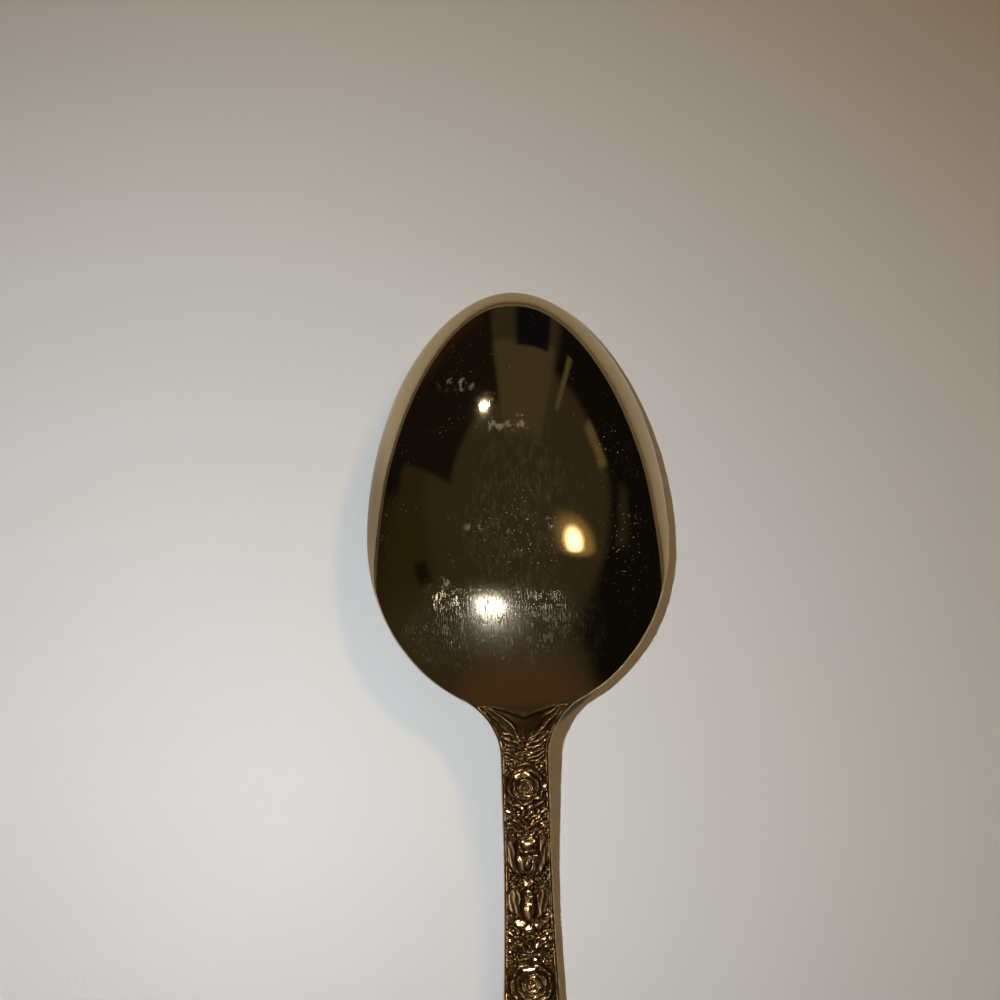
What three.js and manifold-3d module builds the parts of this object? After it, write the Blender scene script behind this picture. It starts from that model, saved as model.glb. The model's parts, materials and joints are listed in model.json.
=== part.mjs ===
// Dinner spoon stamped from one blank of steel and gold plated, lying bowl down with its back up.
// Millimetres, +Z up, +Y from the end of the handle to the tip of the bowl. The table is z = 0 and
// the origin lies under the middle of the length. "Along" is the distance from the tip.
import * as THREE from "three";
import { mergeVertices } from "three/addons/utils/BufferGeometryUtils.js";
import Module from "manifold-3d";

// Outline seen from above
const OVERALL_LENGTH = 186;
const BOWL_FRONT = 34.7; // tip to the widest place
const BOWL_REAR = 23.8; // widest place to the rear end of the egg shape
const BOWL_WIDTH = 42;
const TIP_ROUNDNESS = 1.9; // exponent of the egg's front half, where 2 is an ellipse
const SHOULDER_RADIUS = 9; // hollow fillet from the egg into the neck
const NECK_WIDTH = 6.7;
const NECK_RUN = 16.5; // rear end of the egg to the narrowest place
const END_WIDTH = 14.4; // widest place of the handle
const END_ROUNDING = 18; // length of the handle's rounded end
const END_ROUNDNESS = 2.1; // exponent of that end

// Side view
const BOWL_HEIGHT = 11; // crown of the bowl's back above the table
const CROWN_SETBACK = 1.3; // widest place to the crown
const HEEL_SETBACK = 1; // rear end of the egg back to where the bowl's back meets the neck
const HEEL_FILLET = 1.2; // reach of the hollow fillet there
const TIP_RISE = 5.2; // exponent of the crown line's steep part at the tip
const CROWN_ROUND = 0.5; // share of the crown line that is a plain parabola
const RIM_REST = 5; // tip to where the rim leaves the table
const NECK_LIFT = 2.7; // underside of the neck above the table
const CREST_SETBACK = 6.5; // rear end of the egg back to the highest place of that underside
const REST_RUN = 29.5; // rear end of the egg to where the handle touches the table
const END_LIFT = 4.5; // underside of the handle's end above the table

// Cross-sections
const FULL_POWER = 2.3; // exponent of the arch across the bowl's front part
const FULLNESS = 0.62; // exponent that steepens that arch towards the rim, where 1 is a plain arch
const FULL_SETBACK = 12.7; // widest place forward to where the full arch starts to turn plain
const PLAIN_POWER = 2; // exponent of the plain arch towards the neck
const PLAIN_RUN = 12.3; // widest place to where the arch is plain
const HANDLE_POWER = 6; // exponent of the handle's flatter arch
const FLAT_SETBACK = 1; // rear end of the egg back to where the arch starts to flatten
const FLAT_RUN = 8; // rear end of the egg to where it is the handle's
const EDGE_SETBACK = 8; // rear end of the egg back to where the rim starts to thicken
const EDGE_RUN = 3; // rear end of the egg to where it is as thick as the handle
const WALL = 1.5; // sheet at the crown
const RIM_LAND = 1.2; // width of the flat rim
const RIM_EDGE = 0.6; // height of the rim's upright edge
const NECK_GAUGE = 2.6;
const END_GAUGE = 1.8;
const ARCH_RISE = 0.35; // middle of the handle's back above its edges
const CLOSING_FLAT = 0.5; // half width of the small flat where an outline closes

// Where the polish stops and the pressed ornament starts
const ROOT_SETBACK = 1.5; // rear end of the egg back to that line
const END_WALL = 1.5; // that line back to the end of the hollow
const HOLLOW_ROUNDNESS = 2; // exponent of the hollow's rear end

// Sunk panels on both faces of the handle
const BORDER = 0.45; // plain raised edge
const BEVEL = 0.3; // slope from the edge to the ground
const BACK_DEPTH = 0.4;
const FRONT_DEPTH = 0.6;
const PANEL_RUN = 4; // rear end of the egg to where the panels start
const PANEL_FADE = 4; // length over which a panel sinks to its full depth

// Rose and leaf ornament
const FIRST_ROSE_RUN = 10.9; // rear end of the egg to the first open rose
const LAST_ROSE_SETBACK = 22.5; // end of the handle back to the last open rose
const ROSES = 4;
const PITCH_GROWTH = 1.15; // each pitch against the one before
const ROSE_FILL = 0.96; // radius of a rose against the panel's half width
const RELIEF = 0.75; // highest place of a rose above the ground on the back
const FRONT_SHY = 0.05; // how far the front's roses stay below its border
const SPRAY_RUN = 0.6; // rear end of the egg to the first pair of leaves on the shoulders
const SPRAY_PITCH = 2.6;
const SPRAY_PAIRS = 3;
const SPRAY_HEIGHT = 0.45;
const SINK = 0.35; // how far an ornament's foot lies below the ground

// Proportions of the ornament: lengths against a rose's radius, heights against its relief, turns
// in radians, and places between two roses against their pitch
const PETAL_RINGS = [
  { radius: 1, middle: 0.2, lip: 0.6, petals: 5, turn: 0 },
  { radius: 0.68, middle: 0.4, lip: 0.85, petals: 5, turn: Math.PI / 5 },
  { radius: 0.36, middle: 0.85, lip: 1, petals: 3, turn: 0 },
];
const PETAL_NOTCH = 0.22;
const LIP_PLACE = 0.82;
const LIP_DROP = 0.25; // lip of a petal above its outer edge
const HEART = { out: 0, back: -0.25, turn: 0, length: 0.85, width: 0.38, height: 1 };
const WRAPPING_PETAL = { out: 0.46, back: 0, turn: 0.25, length: 0.82, width: 0.42, height: 0.8 };
const TURNED_LIP = { out: 0.48, back: 0.72, turn: 1.05, length: 0.58, width: 0.3, height: 0.7 };
const LEAF = { out: 0.5, turn: 0.95, length: 0.68, width: 0.28, height: 0.7 };
const LEAF_POINTEDNESS = 1.35; // exponent of a leaf's outline, where 1 is a lozenge
const SPRAY_LEAF = { out: 0.53, turn: 0.92, turnGrowth: 0.1, length: 0.54, width: 0.17 };
const PLACES = { openLeaves: 0.17, firstBud: 0.345, secondBud: 0.61, closingLeaves: 0.81 };
const END_LEAVES = { back: 1.25, reach: 0.9 };
const END_LEAF = { back: 1.9, length: 0.75, width: 0.28, height: 0.7 };

// Fineness of the facets
const BOWL_STEPS = 18;
const HEEL_STEPS = 12;
const ARCH_STEPS = 20;
const STEM_STEPS = 40;
const STEM_EASE = 1.3; // crowds the sections towards the shoulders
const END_STEPS = 8;

const eggEnd = BOWL_FRONT + BOWL_REAR;
const crownAt = BOWL_FRONT + CROWN_SETBACK;
const heelAt = eggEnd - HEEL_SETBACK;
const crestAt = eggEnd - CREST_SETBACK;
const rootAt = eggEnd - ROOT_SETBACK;
const hollowEnd = rootAt - END_WALL;
const restAt = eggEnd + REST_RUN;
const narrowAt = eggEnd + NECK_RUN;
const roundingAt = OVERALL_LENGTH - END_ROUNDING;
const tipY = OVERALL_LENGTH / 2;

const wasm = await Module();
wasm.setup();

const mix = THREE.MathUtils.lerp;
const smooth = THREE.MathUtils.smoothstep;

// A closed geometry as a solid for cutting and joining
function solidOf(geometry) {
  const bare = new THREE.BufferGeometry();
  bare.setAttribute("position", geometry.getAttribute("position"));
  bare.setIndex(geometry.index);
  const merged = mergeVertices(bare);
  const vertProperties = merged.getAttribute("position").array;
  const triVerts = new Uint32Array(merged.index.array);
  return new wasm.Manifold(new wasm.Mesh({ numProp: 3, vertProperties, triVerts }));
}

function geometryOf(solid) {
  const mesh = solid.getMesh();
  const geometry = new THREE.BufferGeometry();
  geometry.setAttribute("position", new THREE.BufferAttribute(mesh.vertProperties, 3));
  geometry.setIndex(new THREE.BufferAttribute(mesh.triVerts, 1));
  geometry.computeVertexNormals();
  return geometry;
}

// A closed skin over rings of equally many points, each end closed by a fan from its middle
function loft(rings) {
  const count = rings[0].length;
  const points = rings.flat();
  const index = [];
  for (let row = 0; row + 1 < rings.length; row++) {
    for (let i = 0; i < count; i++) {
      const next = (i + 1) % count;
      const here = row * count;
      const there = here + count;
      index.push(here + i, there + i, there + next, here + i, there + next, here + next);
    }
  }
  const lastRow = (rings.length - 1) * count;
  const middleOf = (ring) => ring.reduce((sum, p) => sum.add(p), new THREE.Vector3()).divideScalar(count);
  points.push(middleOf(rings[0]), middleOf(rings[rings.length - 1]));
  for (let i = 0; i < count; i++) {
    const next = (i + 1) % count;
    index.push(points.length - 2, i, next);
    index.push(points.length - 1, lastRow + next, lastRow + i);
  }
  const geometry = new THREE.BufferGeometry().setFromPoints(points);
  geometry.setIndex(index);
  return geometry;
}

// Half width of an egg with its own front and rear lengths, widest at BOWL_FRONT
function eggHalf(along, front, rear, half) {
  if (along <= BOWL_FRONT) {
    const share = Math.min(1, (BOWL_FRONT - along) / front);
    return Math.max(CLOSING_FLAT, half * (1 - share ** TIP_ROUNDNESS) ** (1 / TIP_ROUNDNESS));
  }
  const share = Math.min(1, (along - BOWL_FRONT) / rear);
  return Math.max(CLOSING_FLAT, half * Math.sqrt(1 - share * share));
}

// The fillet's ends: an arc that touches the egg from outside and runs into the neck's edge
function shoulderArc() {
  const half = BOWL_WIDTH / 2;
  const centreX = NECK_WIDTH / 2 + SHOULDER_RADIUS;
  let low = 0;
  let high = Math.PI / 2;
  let start = eggEnd;
  let end = eggEnd;
  for (let step = 0; step < 50; step++) {
    const angle = (low + high) / 2;
    const normal = new THREE.Vector2(Math.sin(angle) / half, Math.cos(angle) / BOWL_REAR).normalize();
    start = BOWL_FRONT + BOWL_REAR * Math.cos(angle);
    end = start + SHOULDER_RADIUS * normal.y;
    if (half * Math.sin(angle) + SHOULDER_RADIUS * normal.x < centreX) low = angle;
    else high = angle;
  }
  return { start, end, centreX };
}

const shoulder = shoulderArc();

// Half width of the whole outline
function halfWidth(along) {
  if (along < shoulder.start) return eggHalf(along, BOWL_FRONT, BOWL_REAR, BOWL_WIDTH / 2);
  if (along < shoulder.end) {
    const short = shoulder.end - along;
    return shoulder.centreX - Math.sqrt(SHOULDER_RADIUS ** 2 - short ** 2);
  }
  const stem = mix(NECK_WIDTH, END_WIDTH, smooth(along, narrowAt, roundingAt)) / 2;
  const share = THREE.MathUtils.clamp((along - roundingAt) / END_ROUNDING, 0, 1);
  return Math.max(CLOSING_FLAT, stem * (1 - share ** END_ROUNDNESS) ** (1 / END_ROUNDNESS));
}

// Height of the rim and of the handle's underside
function undersideAt(along) {
  if (along < crestAt) return NECK_LIFT * smooth(along, RIM_REST, crestAt);
  if (along < restAt) return NECK_LIFT * (1 - smooth(along, crestAt, restAt));
  return END_LIFT * ((along - restAt) / (OVERALL_LENGTH - restAt)) ** 2;
}

const gaugeAt = (along) => mix(NECK_GAUGE, END_GAUGE, smooth(along, eggEnd, OVERALL_LENGTH));
const handleTopAt = (along) => undersideAt(along) + gaugeAt(along);

// The higher of two heights, with a hollow fillet where they cross
function filletedMax(a, b, reach) {
  const near = Math.max(0, reach - Math.abs(a - b)) / reach;
  return Math.max(a, b) + (near * near * reach) / 4;
}

// Share of the way that the crown line has come down, from its highest place to the tip
function crownFall(along, front) {
  const share = (crownAt - along) / (crownAt - front);
  return CROWN_ROUND * share ** 2 + (1 - CROWN_ROUND) * share ** TIP_RISE;
}

// Height of the back along the middle
function crownHeight(along) {
  if (along < crownAt) return mix(BOWL_HEIGHT, RIM_EDGE, crownFall(along, 0));
  const share = (along - crownAt) / (heelAt - crownAt);
  const bowlBack = mix(BOWL_HEIGHT, handleTopAt(heelAt), share * share);
  return filletedMax(bowlBack, handleTopAt(along), HEEL_FILLET);
}

// Share of the full height at a share of the half width
function archAt(across, along) {
  const plain = smooth(along, BOWL_FRONT - FULL_SETBACK, BOWL_FRONT + PLAIN_RUN);
  const flat = smooth(along, eggEnd - FLAT_SETBACK, eggEnd + FLAT_RUN);
  const power = mix(mix(FULL_POWER, PLAIN_POWER, plain), HANDLE_POWER, flat);
  return (1 - Math.min(1, across) ** power) ** mix(FULLNESS, 1, plain);
}

// Height of the plain back before any panel is sunk into it
function backAt(x, along) {
  const thick = smooth(along, eggEnd - EDGE_SETBACK, eggEnd + EDGE_RUN);
  const edge = undersideAt(along) + mix(RIM_EDGE, gaugeAt(along) - ARCH_RISE, thick);
  return mix(edge, crownHeight(along), archAt(Math.abs(x) / halfWidth(along), along));
}

const point = (x, along, z) => new THREE.Vector3(x, tipY - along, z);

// Arch from left to right over a half width, closed below by two corners
function archRing(along, half, heightAt, floor) {
  const ring = [];
  for (let i = 0; i <= ARCH_STEPS; i++) {
    const x = half * Math.sin(Math.PI * (i / ARCH_STEPS - 0.5));
    ring.push(point(x, along, heightAt(x)));
  }
  ring.push(point(half, along, floor), point(-half, along, floor));
  return ring;
}

// Places along an egg, close together at its pointed ends
function eggPlaces(start, end, endIsPointed) {
  const places = [];
  for (let i = 0; i < BOWL_STEPS; i++) {
    places.push(BOWL_FRONT - (BOWL_FRONT - start) * Math.cos((i / BOWL_STEPS) * (Math.PI / 2)));
  }
  for (let i = 0; i <= HEEL_STEPS; i++) {
    const share = i / HEEL_STEPS;
    const eased = endIsPointed ? Math.sin(share * (Math.PI / 2)) : share;
    places.push(mix(BOWL_FRONT, end, eased));
  }
  return places;
}

function bowlBlank() {
  const rings = eggPlaces(0, rootAt, false).map((along) =>
    archRing(along, halfWidth(along), (x) => backAt(x, along), undersideAt(along)),
  );
  return solidOf(loft(rings));
}

// Height of the hollow's roof along the middle
function hollowCrown(along) {
  const roof = BOWL_HEIGHT - WALL;
  if (along < crownAt) return roof * (1 - crownFall(along, RIM_LAND));
  const share = Math.min(1, (along - crownAt) / (hollowEnd - crownAt));
  return mix(roof, undersideAt(along), share ** HOLLOW_ROUNDNESS);
}

// The inside of the bowl, reaching below the rim so that it cuts clean through
function bowlHollow() {
  const rings = eggPlaces(RIM_LAND, hollowEnd, true).map((along) => {
    const half = eggHalf(along, BOWL_FRONT - RIM_LAND, hollowEnd - BOWL_FRONT, BOWL_WIDTH / 2 - RIM_LAND);
    const rim = undersideAt(along);
    const roof = (x) => mix(rim, hollowCrown(along), archAt(Math.abs(x) / half, along));
    return archRing(along, half, roof, -BOWL_HEIGHT);
  });
  return solidOf(loft(rings));
}

// Depth of the panel on the back (face 1) or on the front (face -1) of the handle
function panelDepth(face, along) {
  const start = eggEnd + PANEL_RUN;
  const depth = face > 0 ? BACK_DEPTH : FRONT_DEPTH;
  const opened = smooth(along, start, start + PANEL_FADE);
  const closed = smooth(along, OVERALL_LENGTH - BORDER - BEVEL, OVERALL_LENGTH);
  return depth * opened * (1 - closed);
}

// Height of the sunk ground of either face
function groundAt(face, x, along) {
  const plain = face > 0 ? backAt(x, along) : undersideAt(along);
  return plain - face * panelDepth(face, along);
}

// One section of the handle: plain edge, bevel and ground on the back, and the same on the front
function handleRing(along, half) {
  const border = Math.min(BORDER, half / 3);
  const bevel = Math.min(BEVEL, half / 3);
  const ground = half - border - bevel;
  const plain = [half, half - border];
  const across = [-half, border - half, -ground, -ground / 2, 0, ground / 2, ground, half - border, half];
  const height = (face, x) => {
    if (!plain.includes(Math.abs(x))) return groundAt(face, x, along);
    return face > 0 ? backAt(x, along) : undersideAt(along);
  };
  const back = across.map((x) => point(x, along, height(1, x)));
  const front = across.map((x) => point(-x, along, height(-1, -x)));
  return [...back, ...front];
}

function handleBar() {
  const rings = [];
  for (let i = 0; i < STEM_STEPS; i++) {
    const along = mix(rootAt, roundingAt, (i / STEM_STEPS) ** STEM_EASE);
    rings.push(handleRing(along, halfWidth(along)));
  }
  for (let i = 0; i <= END_STEPS; i++) {
    const along = roundingAt + END_ROUNDING * Math.sin((i / END_STEPS) * (Math.PI / 2));
    rings.push(handleRing(along, halfWidth(along)));
  }
  return solidOf(loft(rings));
}

// A raised form draped on a face. The outline is a superellipse that may have lobes; levels are
// pairs of a share of the radius and a height, from the middle outwards.
function mound(face, shape) {
  const { x, along, turn = 0, length, width, exponent = 2, lobes = 0, lobeDepth = 0, sides, levels } = shape;
  const place = (share, angle, height) => {
    const cos = Math.cos(angle);
    const sin = Math.sin(angle);
    const lobe = lobes ? 1 - lobeDepth * (1 - Math.abs(Math.cos((lobes * angle) / 2))) : 1;
    const body = Math.abs(cos / length) ** exponent + Math.abs(sin / width) ** exponent;
    const radius = (share * lobe) / body ** (1 / exponent);
    const localX = radius * sin;
    const localAlong = -radius * cos;
    const px = x + localX * Math.cos(turn) - localAlong * Math.sin(turn);
    const pAlong = along + localX * Math.sin(turn) + localAlong * Math.cos(turn);
    return point(px, pAlong, groundAt(face, px, pAlong) + face * height);
  };
  const rows = [...levels.slice(1), [1, -SINK]];
  const rings = rows.map(([share, height]) => {
    const ring = [];
    for (let i = 0; i < sides; i++) {
      ring.push(place(share, (-face * 2 * Math.PI * i) / sides, height));
    }
    return ring;
  });
  const geometry = loft(rings);
  const apex = place(0, 0, levels[0][1]);
  const positions = geometry.getAttribute("position");
  positions.setXYZ(positions.count - 2, apex.x, apex.y, apex.z);
  return solidOf(geometry);
}

const leaf = (face, x, along, turn, length, width, height) =>
  mound(face, {
    x,
    along,
    turn,
    length,
    width,
    exponent: LEAF_POINTEDNESS,
    sides: 8,
    levels: [
      [0, height],
      [0.6, 0.75 * height],
      [1, 0.2 * height],
    ],
  });

// Open rose: rings of petals with raised lips, each ring turned against the one below
function openRose(face, along, radius, relief) {
  return PETAL_RINGS.map((ring) =>
    mound(face, {
      x: 0,
      along,
      turn: ring.turn,
      length: ring.radius * radius,
      width: ring.radius * radius,
      lobes: ring.petals,
      lobeDepth: PETAL_NOTCH,
      sides: ring.petals * 4,
      levels: [
        [0, ring.middle * relief],
        [LIP_PLACE, ring.lip * relief],
        [1, (ring.lip - LIP_DROP) * relief],
      ],
    }),
  );
}

// Half-open rose seen from the side: heart, two wrapping petals and two turned lips
function sideRose(face, along, radius, relief, facing) {
  const petal = (form, side) =>
    mound(face, {
      x: side * form.out * radius,
      along: along + facing * form.back * radius,
      turn: facing * side * form.turn,
      length: form.length * radius,
      width: form.width * radius,
      sides: 8,
      levels: [
        [0, form.height * relief],
        [0.65, 0.8 * form.height * relief],
        [1, 0.25 * form.height * relief],
      ],
    });
  const pairs = [-1, 1].flatMap((side) => [petal(WRAPPING_PETAL, side), petal(TURNED_LIP, side)]);
  return [petal(HEART, 1), ...pairs];
}

// Leaves in a V, their tips turned towards the rose that they belong to
function leafPair(face, along, reach, relief, facing) {
  return [-1, 1].map((side) => {
    const turn = facing > 0 ? side * LEAF.turn : Math.PI - side * LEAF.turn;
    const [length, width] = [LEAF.length * reach, LEAF.width * reach];
    return leaf(face, side * LEAF.out * reach, along, turn, length, width, LEAF.height * relief);
  });
}

// Spray of leaves in pairs that spreads from the neck over the shoulders
function shoulderSpray() {
  const pieces = [];
  for (let pair = 0; pair < SPRAY_PAIRS; pair++) {
    const along = eggEnd + SPRAY_RUN + pair * SPRAY_PITCH;
    const reach = halfWidth(along);
    const turn = SPRAY_LEAF.turn + pair * SPRAY_LEAF.turnGrowth;
    const [length, width] = [SPRAY_LEAF.length * reach, SPRAY_LEAF.width * reach];
    for (const side of [-1, 1]) {
      pieces.push(leaf(1, side * SPRAY_LEAF.out * reach, along, side * turn, length, width, SPRAY_HEIGHT));
    }
  }
  return pieces;
}

// Places of the open roses, from the first to the last, each pitch longer than the one before
function rosePlaces() {
  const pitches = Array.from({ length: ROSES - 1 }, (_, i) => PITCH_GROWTH ** i);
  const first = eggEnd + FIRST_ROSE_RUN;
  const span = OVERALL_LENGTH - LAST_ROSE_SETBACK - first;
  const unit = span / pitches.reduce((sum, pitch) => sum + pitch, 0);
  const places = [first];
  for (const pitch of pitches) places.push(places[places.length - 1] + pitch * unit);
  return places;
}

// Open roses with a pair of half-open ones between each two, and leaves between all of them
function ornament(face) {
  const relief = face > 0 ? RELIEF : FRONT_DEPTH - FRONT_SHY;
  const radiusAt = (along) => ROSE_FILL * (halfWidth(along) - BORDER - BEVEL / 2);
  const roses = rosePlaces();
  const pieces = roses.flatMap((along) => openRose(face, along, radiusAt(along), relief));
  for (let i = 0; i + 1 < roses.length; i++) {
    const leavesAt = mix(roses[i], roses[i + 1], PLACES.openLeaves);
    const firstBud = mix(roses[i], roses[i + 1], PLACES.firstBud);
    const secondBud = mix(roses[i], roses[i + 1], PLACES.secondBud);
    const closingAt = mix(roses[i], roses[i + 1], PLACES.closingLeaves);
    pieces.push(...leafPair(face, leavesAt, radiusAt(leavesAt), relief, 1));
    pieces.push(...sideRose(face, firstBud, radiusAt(firstBud), relief, -1));
    pieces.push(...sideRose(face, secondBud, radiusAt(secondBud), relief, 1));
    pieces.push(...leafPair(face, closingAt, radiusAt(closingAt), relief, -1));
  }
  const last = roses[roses.length - 1];
  const reach = radiusAt(last);
  const [length, width] = [END_LEAF.length * reach, END_LEAF.width * reach];
  pieces.push(...leafPair(face, last + END_LEAVES.back * reach, END_LEAVES.reach * reach, relief, -1));
  pieces.push(leaf(face, 0, last + END_LEAF.back * reach, Math.PI, length, width, END_LEAF.height * relief));
  return pieces;
}

function namedMesh(name, solid, material) {
  const mesh = new THREE.Mesh(geometryOf(solid), material);
  mesh.name = name;
  return mesh;
}

const polishedGold = new THREE.MeshStandardMaterial({ color: 0xd9bf86, roughness: 0.1, metalness: 1 });
const antiqueGold = new THREE.MeshStandardMaterial({ color: 0xb8935a, roughness: 0.3, metalness: 1 });

const bowl = bowlBlank().subtract(bowlHollow());
const carving = [...shoulderSpray(), ...ornament(1), ...ornament(-1)];
const handle = carving.reduce((bar, piece) => bar.add(piece), handleBar());

const spoon = new THREE.Group();
spoon.add(namedMesh("bowl", bowl, polishedGold));
spoon.add(namedMesh("handle", handle, antiqueGold));

export default spoon;
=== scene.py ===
import json
import math

import bpy
import numpy as np
from mathutils import Matrix, Quaternion, Vector


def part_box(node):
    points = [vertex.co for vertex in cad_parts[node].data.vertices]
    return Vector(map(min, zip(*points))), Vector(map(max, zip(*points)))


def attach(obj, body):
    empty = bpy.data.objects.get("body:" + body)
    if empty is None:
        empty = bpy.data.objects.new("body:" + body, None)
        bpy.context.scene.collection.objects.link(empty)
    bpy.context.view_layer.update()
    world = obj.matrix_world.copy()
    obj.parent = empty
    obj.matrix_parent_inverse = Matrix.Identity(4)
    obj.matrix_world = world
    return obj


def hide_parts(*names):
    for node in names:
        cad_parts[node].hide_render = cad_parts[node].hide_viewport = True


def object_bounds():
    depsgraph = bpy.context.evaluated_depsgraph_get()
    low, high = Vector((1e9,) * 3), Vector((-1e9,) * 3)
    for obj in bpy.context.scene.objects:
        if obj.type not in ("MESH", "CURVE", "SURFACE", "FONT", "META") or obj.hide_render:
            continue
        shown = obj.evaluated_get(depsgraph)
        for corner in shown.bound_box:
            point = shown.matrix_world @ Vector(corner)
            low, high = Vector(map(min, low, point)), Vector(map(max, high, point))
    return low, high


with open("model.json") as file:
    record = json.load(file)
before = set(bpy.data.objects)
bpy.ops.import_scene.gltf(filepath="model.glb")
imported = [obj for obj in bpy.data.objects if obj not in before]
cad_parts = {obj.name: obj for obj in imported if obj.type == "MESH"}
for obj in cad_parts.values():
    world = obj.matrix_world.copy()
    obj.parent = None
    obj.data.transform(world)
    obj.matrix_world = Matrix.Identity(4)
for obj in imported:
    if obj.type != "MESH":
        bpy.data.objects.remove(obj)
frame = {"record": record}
cad_low, cad_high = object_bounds()

# Sizes in millimetres. "Along" is the distance from the tip of the bowl towards the handle's end.
MM = 0.001
bowl_low, bowl_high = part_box("bowl")
TIP_Y = bowl_high.y / MM
LENGTH = (cad_high.y - cad_low.y) / MM
BOWL_WIDTH = (bowl_high.x - bowl_low.x) / MM
BOWL_HEIGHT = bowl_high.z / MM
ROOT_AT = TIP_Y - bowl_low.y / MM

# Outline seen from above
BOWL_FRONT = 34.7
BOWL_REAR = 23.8
TIP_ROUNDNESS = 1.9
SHOULDER_RADIUS = 9.0
NECK_WIDTH = 6.7
NECK_RUN = 16.5
END_WIDTH = 14.4
END_ROUNDING = 18.0
END_ROUNDNESS = 2.1
EGG_END = BOWL_FRONT + BOWL_REAR
NARROW_AT = EGG_END + NECK_RUN
ROUNDING_AT = LENGTH - END_ROUNDING
LEAST_HALF = 0.15

# Side view and cross-sections
CROWN_AT = BOWL_FRONT + 1.3
HEEL_AT = EGG_END - 1.0
HEEL_FILLET = 1.2
TIP_RISE = 5.2
CROWN_ROUND = 0.5
RIM_REST = 5.0
NECK_LIFT = 2.7
NECK_CREST = EGG_END - 6.5
REST_AT = EGG_END + 29.5
END_LIFT = 4.5
SIDE_POWER = 2.3
SIDE_FULLNESS = 0.62
REAR_SIDE_POWER = 2.0
FULL_SIDES_TO = 22.0
PLAIN_SIDES_FROM = 47.0
HANDLE_POWER = 6.0
FLAT_SECTION_FROM = EGG_END - 1.0
FLAT_SECTION_TO = EGG_END + 8.0
EDGE_RISE_FROM = EGG_END - 8.0
EDGE_RISE_TO = EGG_END + 3.0
WALL = 1.5
RIM_LAND = 1.2
RIM_EDGE = 0.6
EDGE_ROUND = 0.25
FOOT_ROUND = 0.15
NECK_GAUGE = 2.6
END_GAUGE = 1.8
ARCH_RISE = 0.35
HOLLOW_END = ROOT_AT - 1.5

# Pressed ornament of the handle
BORDER = 0.42
BEVEL = 0.22
BACK_DEPTH = 0.35
FRONT_DEPTH = 0.6
PANEL_FROM = ROOT_AT + 0.1
PANEL_FADE = 0.7
V_DIP = 1.5
V_HALF = 4.8
BACK_RELIEF = 0.75
FRONT_RELIEF = 0.55
FIRST_ROSE_AT = EGG_END + 10.1
LAST_ROSE_AT = LENGTH - 22.5
ROSES = 4
PITCH_GROWTH = 1.13
STIPPLE_PITCH = 0.4
STIPPLE_HEIGHT = 0.2

SEED = 7
rng = np.random.default_rng(SEED)


# Shape of the plain spoon
def smooth(value, low, high):
    share = np.clip((value - low) / (high - low), 0, 1)
    return share * share * (3 - 2 * share)


def mix(a, b, share):
    return a + (b - a) * share


SLOPE_STEP = 0.01


def slope_of(curve, place):
    """Slope of a curve at a place, by a small step to both sides."""
    return (curve(place + SLOPE_STEP) - curve(place - SLOPE_STEP)) / (2 * SLOPE_STEP)


def soft_max(a, b, reach):
    near = np.clip(reach - np.abs(a - b), 0, None) / reach
    return np.maximum(a, b) + near * near * reach / 4


def egg_half(along, front, rear, half):
    ahead = np.clip((BOWL_FRONT - along) / front, 0, 1)
    behind = np.clip((along - BOWL_FRONT) / rear, 0, 1)
    front_half = half * (1 - ahead ** TIP_ROUNDNESS) ** (1 / TIP_ROUNDNESS)
    return np.where(along <= BOWL_FRONT, front_half, half * np.sqrt(1 - behind * behind))


def shoulder_arc():
    """Start, end and centre of the hollow fillet between the egg and the neck."""
    half = BOWL_WIDTH / 2
    centre_x = NECK_WIDTH / 2 + SHOULDER_RADIUS
    low, high = 0.0, math.pi / 2
    for _ in range(50):
        angle = (low + high) / 2
        normal = np.array([math.sin(angle) / half, math.cos(angle) / BOWL_REAR])
        normal /= np.linalg.norm(normal)
        start = BOWL_FRONT + BOWL_REAR * math.cos(angle)
        if half * math.sin(angle) + SHOULDER_RADIUS * normal[0] < centre_x:
            low = angle
        else:
            high = angle
    return start, start + SHOULDER_RADIUS * normal[1], centre_x


ARC_START, ARC_END, ARC_X = shoulder_arc()


def half_width(along):
    egg = egg_half(along, BOWL_FRONT, BOWL_REAR, BOWL_WIDTH / 2)
    short = np.clip(ARC_END - along, 0, SHOULDER_RADIUS)
    arc = ARC_X - np.sqrt(SHOULDER_RADIUS**2 - short**2)
    stem = mix(NECK_WIDTH, END_WIDTH, smooth(along, NARROW_AT, ROUNDING_AT)) / 2
    share = np.clip((along - ROUNDING_AT) / END_ROUNDING, 0, 1)
    stem = np.maximum(LEAST_HALF, stem * (1 - share**END_ROUNDNESS) ** (1 / END_ROUNDNESS))
    return np.where(along < ARC_START, egg, np.where(along < ARC_END, arc, stem))


def underside(along):
    rising = NECK_LIFT * smooth(along, RIM_REST, NECK_CREST)
    falling = NECK_LIFT * (1 - smooth(along, NECK_CREST, REST_AT))
    end = END_LIFT * ((along - REST_AT) / (LENGTH - REST_AT)) ** 2
    return np.where(along < NECK_CREST, rising, np.where(along < REST_AT, falling, end))


def gauge(along):
    return mix(NECK_GAUGE, END_GAUGE, smooth(along, EGG_END, LENGTH))


def front_fall(along, front):
    share = np.abs(CROWN_AT - along) / (CROWN_AT - front)
    return CROWN_ROUND * share**2 + (1 - CROWN_ROUND) * share**TIP_RISE


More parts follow.
